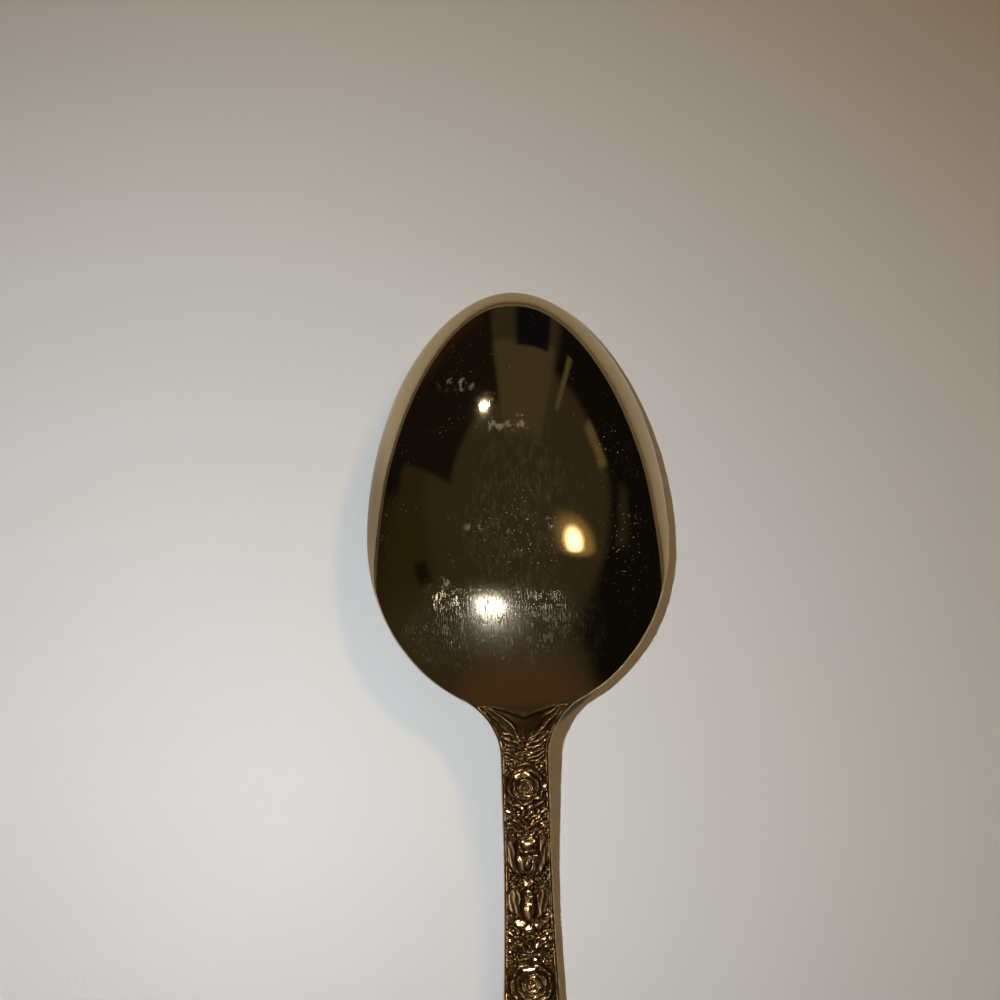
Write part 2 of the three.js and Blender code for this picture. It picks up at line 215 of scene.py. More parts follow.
def crown(along):
    """Height of the back along the middle: the bowl's curve, and the handle where that is higher."""
    handle_top = underside(along) + gauge(along)
    heel_top = underside(HEEL_AT) + gauge(HEEL_AT)
    share = (along - CROWN_AT) / (HEEL_AT - CROWN_AT)
    front = mix(BOWL_HEIGHT, RIM_EDGE, front_fall(along, 0))
    rear = mix(BOWL_HEIGHT, heel_top, share * share)
    bowl = np.where(along < CROWN_AT, front, rear)
    return np.where(along < CROWN_AT, bowl, soft_max(bowl, handle_top, HEEL_FILLET))


def section(across, along):
    """Share of the full height at a share of the half width: full sides ahead, a plain arch at the neck."""
    plain = smooth(along, FULL_SIDES_TO, PLAIN_SIDES_FROM)
    flat = smooth(along, FLAT_SECTION_FROM, FLAT_SECTION_TO)
    power = mix(mix(SIDE_POWER, REAR_SIDE_POWER, plain), HANDLE_POWER, flat)
    return (1 - np.clip(across, 0, 1) ** power) ** mix(SIDE_FULLNESS, 1, plain)


def back(x, along):
    thick = smooth(along, EDGE_RISE_FROM, EDGE_RISE_TO)
    edge = underside(along) + mix(RIM_EDGE, gauge(along) - ARCH_RISE, thick)
    across = np.abs(x) / np.maximum(half_width(along), 1e-6)
    return mix(edge, crown(along), section(across, along))


def hollow(x, along):
    roof = BOWL_HEIGHT - WALL
    share = np.clip((along - CROWN_AT) / (HOLLOW_END - CROWN_AT), 0, 1)
    rear = mix(roof, underside(along), share * share)
    top = np.where(along < CROWN_AT, roof * (1 - front_fall(along, RIM_LAND)), rear)
    half = egg_half(along, BOWL_FRONT - RIM_LAND, HOLLOW_END - BOWL_FRONT, BOWL_WIDTH / 2 - RIM_LAND)
    across = np.abs(x) / np.maximum(half, 1e-6)
    return mix(underside(along), top, section(across, along))


def rounding(distance, radius):
    """How far a rounded edge lies below the corner, at a distance from the outline."""
    left = np.clip(radius - distance, 0, radius)
    return radius - np.sqrt(radius**2 - left**2)


def side_distance(x, along):
    """Distance to the outline at the side."""
    slope = slope_of(half_width, along)
    return np.maximum(0, (half_width(along) - np.abs(x)) / np.sqrt(1 + slope**2))


def rounded_back(x, along):
    return back(x, along) - rounding(side_distance(x, along), EDGE_ROUND)


# Meshes from rows of points
def add_mesh(name, points, faces):
    mesh = bpy.data.meshes.new(name)
    placed = np.column_stack([points[:, 0], TIP_Y - points[:, 1], points[:, 2]]) * MM
    mesh.from_pydata(placed.tolist(), [], faces)
    mesh.shade_smooth()
    piece = bpy.data.objects.new(name, mesh)
    bpy.context.scene.collection.objects.link(piece)
    return piece


def match_joint(piece, points, on_joint):
    """The same normals on both sides of the joint between bowl and handle, so that the polish runs on."""
    x, along = points[on_joint, 0], points[on_joint, 1]
    across = slope_of(lambda places: rounded_back(places, along), x)
    lengthways = slope_of(lambda places: rounded_back(x, places), along)
    joint = np.column_stack([-across, lengthways, np.ones_like(x)])
    normals = np.zeros((len(points), 3))
    normals[on_joint] = joint / np.linalg.norm(joint, axis=1)[:, None]
    piece.data.normals_split_custom_set_from_vertices(normals.tolist())


def grid_faces(rows, count, closed):
    """Quads between rows of equally many points."""
    last = count if closed else count - 1
    row, column = np.meshgrid(np.arange(rows - 1), np.arange(last), indexing="ij")
    following = (column + 1) % count
    quads = [row * count + column, row * count + following]
    quads += [(row + 1) * count + following, (row + 1) * count + column]
    return np.stack(quads, -1).reshape(-1, 4)


def resample(points, count):
    """Points at equal steps along a line."""
    steps = np.concatenate([[0], np.cumsum(np.linalg.norm(np.diff(points, axis=0), axis=1))])
    places = np.linspace(0, steps[-1], count + 1)
    return np.column_stack([np.interp(places, steps, points[:, i]) for i in range(2)])


# Bowl: a closed shell from the crown out over the rim and back into the hollow
OUTLINE_STEPS = 210
CUT_STEPS = 20
BACK_ROWS = 80
HOLLOW_ROWS = 40
EDGE_POINTS = 1500
RIM_INSET = 0.55
RIM_STEPS = [0.42, 0.3, 0.2, 0.12, 0.06, 0.02, 0.0]
FOOT_STEPS = 5
LIP_OFFSETS = (0.12, 0.05)
LIP_RISE = 0.02
BACK_CROWDING = 1.25
HOLLOW_CROWDING = 1.1
HOLLOW_START = 0.004
HOLLOW_REACH = 0.99


def bowl_loop():
    """Bowl's edge from above, its points on the cut and at the cut's corners, and the way outwards."""
    front = BOWL_FRONT * (1 - np.cos(np.linspace(0, math.pi / 2, EDGE_POINTS)))
    places = np.concatenate([front, np.linspace(BOWL_FRONT, ROOT_AT, EDGE_POINTS)[1:]])
    edge = resample(np.column_stack([half_width(places), places]), OUTLINE_STEPS)
    slope = slope_of(half_width, ROOT_AT)
    corner_reach = math.sqrt(1 + slope**2)
    cut_x = np.linspace(edge[-1, 0] - 2 * RIM_INSET * corner_reach, 0, CUT_STEPS)
    cut = np.column_stack([cut_x, np.full_like(cut_x, ROOT_AT)])
    right = np.concatenate([edge, cut])
    left = right[-2:0:-1] * [-1, 1]
    loop = np.concatenate([right, left])
    corner = np.isclose(np.abs(loop[:, 0]), edge[-1, 0]) & np.isclose(loop[:, 1], ROOT_AT)
    on_cut = np.isclose(loop[:, 1], ROOT_AT) & ~corner
    tangent = np.roll(loop, -1, axis=0) - np.roll(loop, 1, axis=0)
    normal = np.column_stack([-tangent[:, 1], tangent[:, 0]]) * -1
    normal /= np.linalg.norm(normal, axis=1)[:, None]
    normal[on_cut] = [0, 1]
    normal[corner] = np.column_stack([np.sign(loop[corner, 0]) * corner_reach, np.zeros(corner.sum())])
    return loop, on_cut, corner, normal


def hollow_loop(loop):
    """Edge of the hollow on the rays from the widest place to the points of the bowl's edge."""
    ray = loop - [0, BOWL_FRONT]
    half = BOWL_WIDTH / 2 - RIM_LAND
    ahead = ray[:, 1] < 0
    length = np.where(ahead, BOWL_FRONT - RIM_LAND, HOLLOW_END - BOWL_FRONT)
    power = np.where(ahead, TIP_ROUNDNESS, 2)
    body = np.abs(ray[:, 0] / half) ** power + np.abs(ray[:, 1] / length) ** power
    return [0, BOWL_FRONT] + ray / (body ** (1 / power))[:, None]


def make_bowl():
    loop, on_cut, corner, normal = bowl_loop()
    centre = np.array([0, BOWL_FRONT])
    inset = np.where(on_cut, 0, RIM_INSET)[:, None]
    shoulder = loop - inset * normal
    rows = []

    def add_row(plan, height):
        rows.append(np.column_stack([plan, height]))

    for step in range(1, BACK_ROWS + 1):
        share = 1 - (1 - step / BACK_ROWS) ** BACK_CROWDING
        plan = centre + share * (shoulder - centre)
        add_row(plan, rounded_back(plan[:, 0], plan[:, 1]))
    top = rounded_back(loop[:, 0], loop[:, 1])
    foot = underside(loop[:, 1])
    count = len(RIM_STEPS) + FOOT_STEPS
    for step, distance in enumerate(RIM_STEPS, 1):
        plan = np.where(on_cut[:, None], loop, loop - distance * normal)
        height = back(plan[:, 0], plan[:, 1]) - rounding(distance, EDGE_ROUND)
        add_row(plan, np.where(on_cut, mix(top, foot, step / count), height))
    for step, angle in enumerate(np.linspace(0, math.pi / 2, FOOT_STEPS), len(RIM_STEPS) + 1):
        plan = loop - FOOT_ROUND * (1 - math.cos(angle)) * normal
        height = foot + FOOT_ROUND * (1 - math.sin(angle))
        add_row(np.where(on_cut[:, None], loop, plan), np.where(on_cut, mix(top, foot, step / count), height))
    lip = hollow_loop(loop)
    outward = lip - centre
    outward /= np.linalg.norm(outward, axis=1)[:, None]
    for offset in LIP_OFFSETS:
        plan = lip + offset * outward
        add_row(plan, underside(plan[:, 1]) + LIP_RISE * (1 - offset / LIP_OFFSETS[0]))
    for step in range(HOLLOW_ROWS):
        share = 1 - HOLLOW_START - HOLLOW_REACH * (step / HOLLOW_ROWS) ** HOLLOW_CROWDING
        plan = centre + share * (lip - centre)
        add_row(plan, hollow(plan[:, 0], plan[:, 1]))
    size = len(loop)
    points = np.concatenate(rows)
    poles = np.array([[0, BOWL_FRONT, float(surface(0.0, BOWL_FRONT))] for surface in (back, hollow)])
    top_pole = len(points)
    last_row = (len(rows) - 1) * size
    around = [(i, (i + 1) % size) for i in range(size)]
    faces = grid_faces(len(rows), size, True).tolist()
    faces += [(top_pole, b, a) for a, b in around]
    faces += [(top_pole + 1, last_row + a, last_row + b) for a, b in around]
    points = np.concatenate([points, poles])
    piece = add_mesh("spoon_bowl", points, faces)
    on_joint = np.zeros(len(points), bool)
    for row in range(BACK_ROWS - 1, BACK_ROWS + len(RIM_STEPS)):
        on_joint[row * size : (row + 1) * size] = corner | (on_cut & (row < BACK_ROWS))
    match_joint(piece, points, on_joint)
    return piece


# Ornament: heights between 0 on the ground and 1 on the highest petal
GRAIN_CELLS = 64
GRAIN_RADIUS = 0.62
grain_places = rng.uniform(0.15, 0.85, (GRAIN_CELLS, GRAIN_CELLS, 2))


def stipple(x, along):
    """Small round grains on a jittered grid."""
    cell_x = np.floor(x / STIPPLE_PITCH).astype(int)
    cell_y = np.floor(along / STIPPLE_PITCH).astype(int)
    nearest = np.full(x.shape, np.inf)
    for step_x in (-1, 0, 1):
        for step_y in (-1, 0, 1):
            jitter = grain_places[(cell_x + step_x) % GRAIN_CELLS, (cell_y + step_y) % GRAIN_CELLS]
            grain_x = (cell_x + step_x + jitter[..., 0]) * STIPPLE_PITCH
            grain_y = (cell_y + step_y + jitter[..., 1]) * STIPPLE_PITCH
            nearest = np.minimum(nearest, np.hypot(x - grain_x, along - grain_y))
    return np.clip(1 - (nearest / (GRAIN_RADIUS * STIPPLE_PITCH)) ** 2, 0, 1)


def lip_edge(rho, width):
    """1 inside an outline, rounded down to 0 at its edge."""
    return np.sqrt(np.clip(np.minimum(1, (1 - rho) / width), 0, 1))


ROSE_RINGS = [
    {"radius": 1.14, "top": 0.52, "petals": 5, "turn": 0.62, "roll": 0.2},
    {"radius": 0.90, "top": 0.64, "petals": 5, "turn": 0.10, "roll": 0.2},
    {"radius": 0.64, "top": 0.76, "petals": 3, "turn": 0.50, "roll": 0.2},
    {"radius": 0.40, "top": 0.72, "petals": 2, "turn": 0.45, "roll": 0.25},
    {"radius": 0.17, "top": 1.0, "petals": 2, "turn": 1.60, "roll": 0.0},
]
PETAL_NOTCH = 0.14
PETAL_OVERLAP = 0.14
PETAL_FALL = 0.42
PETAL_LIP = 0.12
PETAL_GROOVE = 0.22
GROOVE_WIDTH = 0.12
ROLL_AT = 0.88
ROLL_WIDTH = 0.08
PETAL_VEIN = 0.025
VEINS = 34
HEART_RADIUS = 0.08
FACET_RISE = 0.655
FACET_LEAN = 0.15
FACET_LIP = 0.12
# Facets: place and half sizes against the motif's radius, turn in radians, height of the top
ROSE_FACETS = [
    {"out": -0.30, "down": -0.50, "wide": 0.25, "deep": 0.14, "turn": -0.35, "high": 1.0},
    {"out": 0.02, "down": -0.55, "wide": 0.21, "deep": 0.13, "turn": 0.2, "high": 0.98},
    {"out": 0.82, "down": 0.02, "wide": 0.22, "deep": 0.10, "turn": 1.35, "high": 0.9},
    {"out": -0.28, "down": 0.88, "wide": 0.24, "deep": 0.07, "turn": 0.3, "high": 0.7},
    {"out": 0.24, "down": 0.92, "wide": 0.26, "deep": 0.07, "turn": -0.25, "high": 0.7},
    {"out": 0.03, "down": 0.24, "wide": 0.16, "deep": 0.06, "turn": 0.0, "high": 0.9},
]
CRESCENT_FACETS = [
    {"out": 0.14, "down": -0.98, "wide": 0.20, "deep": 0.08, "turn": 0.1, "high": 0.9},
    {"out": -0.06, "down": -0.62, "wide": 0.30, "deep": 0.08, "turn": -0.1, "high": 1.0},
    {"out": 0.05, "down": -0.33, "wide": 0.20, "deep": 0.06, "turn": 0.1, "high": 0.95},
    {"out": 0.02, "down": -0.02, "wide": 0.15, "deep": 0.07, "turn": 0.0, "high": 1.0},
    {"out": 0.02, "down": 0.26, "wide": 0.15, "deep": 0.06, "turn": 0.0, "high": 0.9},
    {"out": -0.62, "down": 0.45, "wide": 0.20, "deep": 0.06, "turn": 0.9, "high": 0.85},
    {"out": 0.10, "down": 0.92, "wide": 0.34, "deep": 0.07, "turn": -0.1, "high": 0.7},
]
ROUND_BUD_FACETS = [
    {"out": 0.06, "down": -0.62, "wide": 0.38, "deep": 0.19, "turn": 0.0, "high": 1.0},
    {"out": 0.02, "down": 0.14, "wide": 0.24, "deep": 0.10, "turn": 0.0, "high": 0.98},
]
LIPPED_BUD_FACETS = [
    {"out": 0.0, "down": -1.10, "wide": 0.26, "deep": 0.17, "turn": 0.0, "high": 0.9},
    {"out": -0.48, "down": 0.60, "wide": 0.32, "deep": 0.14, "turn": 0.45, "high": 1.0},
    {"out": -0.06, "down": 0.80, "wide": 0.22, "deep": 0.13, "turn": 0.0, "high": 1.0},
    {"out": 0.44, "down": 0.62, "wide": 0.34, "deep": 0.14, "turn": -0.45, "high": 1.0},
    {"out": 0.0, "down": -0.70, "wide": 0.16, "deep": 0.09, "turn": 0.0, "high": 1.0},
    {"out": 0.02, "down": -0.46, "wide": 0.13, "deep": 0.08, "turn": 0.0, "high": 1.0},
    {"out": -0.02, "down": -0.20, "wide": 0.15, "deep": 0.08, "turn": 0.0, "high": 1.0},
    {"out": 0.82, "down": 0.12, "wide": 0.20, "deep": 0.08, "turn": 1.4, "high": 0.8},
]
LEAF_SCALES = [
    {"out": 0.80, "down": -0.46, "wide": 0.20, "deep": 0.07, "turn": -0.6, "high": 0.80},
    {"out": 0.52, "down": -0.20, "wide": 0.20, "deep": 0.07, "turn": -0.75, "high": 0.85},
    {"out": 0.28, "down": 0.08, "wide": 0.17, "deep": 0.07, "turn": -0.9, "high": 0.85},
    {"out": 0.86, "down": -0.16, "wide": 0.13, "deep": 0.06, "turn": -0.3, "high": 0.70},
    {"out": 0.68, "down": 0.08, "wide": 0.13, "deep": 0.06, "turn": -0.4, "high": 0.70},
    {"out": 0.86, "down": 0.26, "wide": 0.11, "deep": 0.06, "turn": -0.3, "high": 0.65},
]


def add_facets(height, x, along, radius, facets):
    """Flat turned-over lips of petals, each rising away from the tip of the spoon."""
    for facet in facets:
        dx, dy = x / radius - facet["out"], along / radius - facet["down"]
        cosine, sine = math.cos(facet["turn"]), math.sin(facet["turn"])
        across = (dx * cosine + dy * sine) / facet["wide"]
        down = (dy * cosine - dx * sine) / facet["deep"]
        rho = np.hypot(across, down)
        lowest = math.hypot(facet["wide"] * sine, facet["deep"] * cosine)
        rise = FACET_RISE * (dy - lowest) + FACET_LEAN * dx
        plane = (facet["high"] + radius * rise) * lip_edge(rho, FACET_LIP)
        height = np.where(rho < 1, np.maximum(height - PETAL_GROOVE, plane), height)
    return height


def open_rose(x, along, radius, facets):
    """Rings of petals that step down outwards, each petal lapping over the next."""
    distance = np.hypot(x, along) / radius
    angle = np.arctan2(x, -along)
    height = np.zeros_like(distance)
    for ring in ROSE_RINGS:
        turns = ring["petals"] * (angle - ring["turn"]) / (2 * math.pi)
        place = turns - np.floor(turns)
        reach = ring["radius"] * (1 - PETAL_NOTCH * np.abs(2 * place - 1) ** 3)
        rho = distance / reach
        groove = PETAL_GROOVE * np.exp(-(((rho - 1) / GROOVE_WIDTH) ** 2))
        surface = ring["top"] - PETAL_FALL * ring["radius"] * np.clip(rho, 0, 1) ** 2
        surface = surface + PETAL_OVERLAP * (0.5 - place) * smooth(rho, 0.4, 0.9)
        surface = surface + PETAL_VEIN * np.cos(VEINS * angle) * smooth(rho, 0.5, 0.9)
        surface = surface + ring["roll"] * np.exp(-(((rho - ROLL_AT) / ROLL_WIDTH) ** 2))
        petals = np.maximum(height - PETAL_GROOVE, surface * lip_edge(rho, PETAL_LIP))
        height = np.maximum(0, np.where(rho < 1, petals, height - groove))
    heart = np.sqrt(np.clip(1 - (distance / HEART_RADIUS) ** 2, 0, 1))
    return add_facets(np.maximum(height, heart), x, along, radius, facets)


def local(x, along, at_x, at_along, turn):
    """Place against a motif's own axis: across it, and along it with the tip at -1."""
    dx, dy = x - at_x, along - at_along
    return dx * math.cos(turn) + dy * math.sin(turn), -dx * math.sin(turn) + dy * math.cos(turn)


PETAL_STRIPES = 2
STRIPE_DEPTH = 0.14
CUP_DEPTH = 0.28
CUP_LIP = 0.25


def petal(x, along, form, side, radius):
    """Oval petal on the side -1 or 1, domed or cupped; a cupped one is striped along its length."""
    out, turn = side * form["out"] * radius, side * form["turn"]
    across, down = local(x, along, out, form["down"] * radius, turn)
    length, width, cupped = form["length"] * radius, form["width"] * radius, form["cupped"]
    rho = np.sqrt((across / width) ** 2 + (down / length) ** 2)
    swell = mix(1, 1 - CUP_DEPTH * (1 - np.clip(rho, 0, 1) ** 2), cupped)
    dome = mix(np.sqrt(np.clip(1 - rho**2, 0, 1)), lip_edge(rho, CUP_LIP), cupped)
    stripes = 0.5 - 0.5 * np.cos(2 * math.pi * PETAL_STRIPES * across / width)
    return rho, np.where(rho < 1, swell * dome * (1 - STRIPE_DEPTH * cupped * stripes), 0)


ROUND_BUD = [
    {"out": 0.54, "down": 0.08, "turn": 0.24, "length": 0.98, "width": 0.44, "height": 0.52, "cupped": 0.85},
    {"out": 0.24, "down": 0.36, "turn": 0.30, "length": 0.56, "width": 0.26, "height": 0.82, "cupped": 0.4},
    {"out": 0.0, "down": 0.22, "turn": 0.0, "length": 0.50, "width": 0.17, "height": 0.92, "cupped": 0.3},
    {"out": 0.0, "down": -0.44, "turn": 0.0, "length": 0.45, "width": 0.48, "height": 0.88, "cupped": 0.9},
    {"out": 0.0, "down": -0.50, "turn": 0.0, "length": 0.28, "width": 0.30, "height": 1.0, "cupped": 0.3},
]
LIPPED_BUD = [
    {"out": 0.54, "down": -0.08, "turn": 0.16, "length": 0.92, "width": 0.44, "height": 0.52, "cupped": 0.85},
    {"out": 0.0, "down": -0.10, "turn": 0.0, "length": 0.78, "width": 0.32, "height": 0.92, "cupped": 0.3},
    {"out": 0.66, "down": 0.50, "turn": 0.95, "length": 0.40, "width": 0.20, "height": 0.95, "cupped": 0.3},
    {"out": 0.28, "down": 0.72, "turn": 1.20, "length": 0.40, "width": 0.22, "height": 1.0, "cupped": 0.3},
    {"out": 0.0, "down": 0.95, "turn": 0.0, "length": 0.20, "width": 0.24, "height": 0.85, "cupped": 0.3},
]


def side_rose(x, along, radius, forms, facets):
    """Half-open rose seen from the side, built up of its petals on both sides."""
    height = np.zeros_like(x)
    for form in forms:
        for side in (-1, 1):
            rho, shape = petal(x, along, form, side, radius)
            groove = PETAL_GROOVE * np.exp(-(((rho - 1) / GROOVE_WIDTH) ** 2))
            inside = np.maximum(height - PETAL_GROOVE, form["height"] * shape)
            height = np.maximum(0, np.where(rho < 1, inside, height - groove))
    return add_facets(height, x, along, radius, facets)


LEAF_BLADE = 0.18
LEAF_GRAIN = 0.17
LEAF_RIB = 0.34
LEAF_EDGE = 0.54
LEAF_TAPER = 0.8
LEAF_SKEW = 0.25
LEAF_RIB_WIDTH = 0.12
LEAF_EDGE_FROM = 0.68
LEAF_EDGE_TO = 0.86
LEAF_LIP = 0.14


def leaf(x, along, at_x, at_along, turn, length, width):
    """Pointed leaf with a raised edge, a midrib and a grained blade."""
    across, down = local(x, along, at_x, at_along, turn)
    share = np.clip(down / length, -1, 1)
    blade = width * np.clip(1 - share**2, 0, 1) ** LEAF_TAPER * (1 + LEAF_SKEW * share)
    rho = np.abs(across) / np.maximum(blade, 1e-3)
    inside = (rho < 1) & (np.abs(down) < length)
    rib = np.exp(-((across / (LEAF_RIB_WIDTH * width)) ** 2))
    edge = smooth(rho, LEAF_EDGE_FROM, LEAF_EDGE_TO)
    grain = LEAF_GRAIN * stipple(x, along)
    height = LEAF_BLADE + grain * (1 - edge) + LEAF_RIB * rib + LEAF_EDGE * edge
    return np.where(inside, height * lip_edge(rho, LEAF_LIP), 0)


def rose_places():
    pitches = PITCH_GROWTH ** np.arange(ROSES - 1)
    span = LAST_ROSE_AT - FIRST_ROSE_AT
    return FIRST_ROSE_AT + np.concatenate([[0], np.cumsum(pitches) * span / pitches.sum()])


WOBBLE = 0.07
LEAF_V = {"out": 0.52, "turn": 0.92, "length": 0.72, "width": 0.34, "height": 0.85}
SPRAY_HEIGHT = 0.62
BEADS = {"count": 4, "radius": 0.28, "height": 0.75}
# Places of the motifs between two open roses, as shares of the roses' pitch
UPPER_LEAVES = 0.175
ROUND_BUD_AT = 0.345
BEADS_FROM = 0.44
BEADS_TO = 0.535
LIPPED_BUD_AT = 0.615
LOWER_LEAVES = 0.795
# How far each motif can reach, against its radius, and the row of beads in millimetres
ROSE_REACH = 1.1
LEAF_REACH = 1.2
BUD_REACH = 1.4
SPRAY_REACH = 1.3
BEADS_REACH = 4.0
# Last leaves, against the last rose's radius
END_LEAVES = {"down": 1.45, "reach": 0.95}
END_LEAF = {"down": 2.15, "length": 0.8, "width": 0.34}
# Leaves at the neck, in millimetres behind the egg and against the half width there
SPRAY = [
    {"down": 1.5, "out": 0.66, "turn": 0.75, "length": 0.74, "width": 0.26},
    {"down": 3.5, "out": 0.54, "turn": 1.1, "length": 0.58, "width": 0.22},
    {"down": 5.7, "out": 0.54, "turn": 1.15, "length": 0.56, "width": 0.2},
]


def leaf_at(x, along, at, reach, form, side):
    """One leaf of a pair, on the side -1 or 1 of the middle."""
    out, turn = side * form["out"] * reach, side * form["turn"]
    return leaf(x, along, out, at, turn, form["length"] * reach, form["width"] * reach)


def leaf_pair(x, along, at, reach):
    """Leaves in a V, with scales that catch the light."""
    height = np.zeros_like(x)
    for side in (-1, 1):
        height = np.maximum(height, LEAF_V["height"] * leaf_at(x, along, at, reach, LEAF_V, side))
    for side in (-1, 1):
        height = add_facets(height, side * x, along - at, reach, LEAF_SCALES)
    return height


def beads(x, along, start, end):
    height = np.zeros_like(x)
    for place in np.linspace(start, end, BEADS["count"]):
        rho = np.hypot(x, along - place) / BEADS["radius"]
        height = np.maximum(height, BEADS["height"] * np.sqrt(np.clip(1 - rho**2, 0, 1)))
    return height


def add_motif(total, x, along, at, reach, shape):
    """Lay a motif over the rows of the grid that it can touch."""
    rows = np.abs(along.mean(axis=1) - at) < reach
    total[rows] = np.maximum(total[rows], shape(x[rows], along[rows]))


def uneven(x, along):
    """Places shifted a little to and fro, as in work cut by hand."""
    shift_x = np.sin(2.3 * along + 1.7 * np.sin(1.9 * x)) + 0.6 * np.sin(4.1 * along - 3.3 * x)
    shift_along = np.sin(2.7 * x + 1.1 * np.sin(2.2 * along)) + 0.6 * np.sin(3.7 * x + 2.9 * along)
    return x + WOBBLE * shift_x, along + WOBBLE * shift_along


def ornament(x, along, with_spray):
    total = np.zeros_like(x)
    x, along = uneven(x, along)
    panel_half = lambda at: float(half_width(np.array(at))) - 0.5 * BORDER
    roses = rose_places()
    for at in roses:
        reach = panel_half(at)
        facets = ROSE_FACETS if at == roses[0] else CRESCENT_FACETS
        rose = lambda px, ps: open_rose(px, ps - at, reach, facets)
        add_motif(total, x, along, at, ROSE_REACH * reach, rose)
    for first, second in zip(roses[:-1], roses[1:]):
        pitch = second - first
        for place in (UPPER_LEAVES, LOWER_LEAVES):
            at = first + place * pitch
            reach = panel_half(at)
            leaves = lambda px, ps: leaf_pair(px, ps, at, reach)
            add_motif(total, x, along, at, LEAF_REACH * reach, leaves)
        buds = (ROUND_BUD_AT, ROUND_BUD, ROUND_BUD_FACETS), (LIPPED_BUD_AT, LIPPED_BUD, LIPPED_BUD_FACETS)
        for place, forms, facets in buds:
            at = first + place * pitch
            reach = panel_half(at)
            bud = lambda px, ps: side_rose(px, ps - at, reach, forms, facets)
            add_motif(total, x, along, at, BUD_REACH * reach, bud)
        start, end = first + BEADS_FROM * pitch, first + BEADS_TO * pitch
        row = lambda px, ps: beads(px, ps, start, end)
        add_motif(total, x, along, (start + end) / 2, BEADS_REACH, row)
    last = roses[-1]
    reach = panel_half(last)
    at = last + END_LEAVES["down"] * reach
    end_leaves = lambda px, ps: leaf_pair(px, ps, at, END_LEAVES["reach"] * reach)
    add_motif(total, x, along, at, LEAF_REACH * reach, end_leaves)
    end_at = last + END_LEAF["down"] * reach
    size = END_LEAF["length"] * reach, END_LEAF["width"] * reach
    end_leaf = lambda px, ps: leaf(px, ps, 0, end_at, math.pi, *size)
    add_motif(total, x, along, end_at, reach, end_leaf)
    if with_spray:
        for form in SPRAY:
            at = EGG_END + form["down"]
            reach = float(half_width(np.array(at)))
            for side in (-1, 1):
                spray_leaf = lambda px, ps: SPRAY_HEIGHT * leaf_at(px, ps, at, reach, form, side)
                add_motif(total, x, along, at, SPRAY_REACH * reach, spray_leaf)
    return total


# Handle: rings of points over back and front, closed at the root and at the end
BACK_COLUMNS = 96
FRONT_COLUMNS = 48
# Gains of the 'raised' share, which decides where the dark recess colour, painted shade, lies
CREST_GAIN = 2.4
GRAIN_SHINE = 1.5
MOTIF_SHINE = 1.15
CAVITY_STEPS = 16
FINE_ROWS_TO = 103.0
FINE_STEP = 0.1
COARSE_STEP = 0.2
END_RUN = 4.0
END_ROWS = 45
END_ZONE = 20.0
OUTLINE_RUN = 24.0
OUTLINE_POINTS = 1200
MOTIF_INSET = 0.25
MOTIF_FULL = 0.55
BARE_BELOW = 0.15
GRAIN_FROM = EGG_END + 1
GRAIN_FULL = EGG_END + 5
V_POWER = 1.6


def handle_rows():
    fine = np.arange(ROOT_AT, FINE_ROWS_TO, FINE_STEP)
    coarse = np.arange(FINE_ROWS_TO, LENGTH - END_RUN, COARSE_STEP)
    end = LENGTH - END_RUN * np.cos(np.linspace(0, math.pi / 2, END_ROWS))
    return np.concatenate([fine, coarse, end])


def columns(count):
    place = np.linspace(-1, 1, count + 1)
    return 0.5 * place + 0.5 * np.sin(place * math.pi / 2)


def edge_distance(x, along):
    """Distance to the outline, across the stem and round the handle's end."""
    distance = side_distance(x, along)
    places = LENGTH - OUTLINE_RUN * (1 - np.sin(np.linspace(0, math.pi / 2, OUTLINE_POINTS)))
    outline_x = half_width(places)
    for row in np.nonzero(along[:, 0] > LENGTH - END_ZONE)[0]:
        gap_x = np.abs(x[row])[:, None] - outline_x[None, :]
        gap_y = along[row][:, None] - places[None, :]
        nearest = np.sqrt(np.min(gap_x**2 + gap_y**2, axis=1))
        distance[row] = np.minimum(nearest, np.abs(LENGTH - along[row]))
    return distance


def panel_start(x):
    """Where the pressed panel begins: a V down the middle, between the tips of two leaves."""
    return PANEL_FROM + V_DIP * np.clip(1 - np.abs(x) / V_HALF, 0, 1) ** V_POWER


def pressed_face(along_rows, count, sign):
    """Points of the back (sign 1) or the front (sign -1), how far they are raised, and the pressed panel."""
    half = half_width(along_rows)[:, None]
    x = half * columns(count)[None, :]
    along = np.repeat(along_rows[:, None], count + 1, axis=1)
    distance = edge_distance(x, along)
    pressed = smooth(along - panel_start(x), 0, PANEL_FADE)
    sunk = smooth(distance, BORDER, BORDER + BEVEL) * pressed
    motif = ornament(x, along, sign > 0) * smooth(distance, MOTIF_INSET, MOTIF_FULL) * pressed
    bare = 1 - smooth(motif, 0.0, BARE_BELOW)
    grain = STIPPLE_HEIGHT * stipple(x, along) * bare * smooth(distance, BORDER, BORDER + BEVEL)
    grain = grain * smooth(along, GRAIN_FROM, GRAIN_FULL)
    depth, relief = (BACK_DEPTH, BACK_RELIEF) if sign > 0 else (FRONT_DEPTH, FRONT_RELIEF)
    rise = relief * motif + grain - depth * sunk - rounding(distance, EDGE_ROUND)
    plain = back(x, along) if sign > 0 else underside(along)
    # The 'raised' share mixes plain gold with the dark recess colour: painted shade in the recesses, from the
    # motif's height and an occlusion-like cavity, lighter on the grain's crests
    shine = GRAIN_SHINE * (grain / STIPPLE_HEIGHT) ** 2
    standing = np.maximum(1 - sunk, MOTIF_SHINE * motif)
    raised = np.clip(standing + CREST_GAIN * cavity_of(motif) + shine, 0, 1)
    z = np.maximum(plain + sign * rise, 0)  # crests on the front are flat where they lie on the table
    return x, along, z, raised, pressed


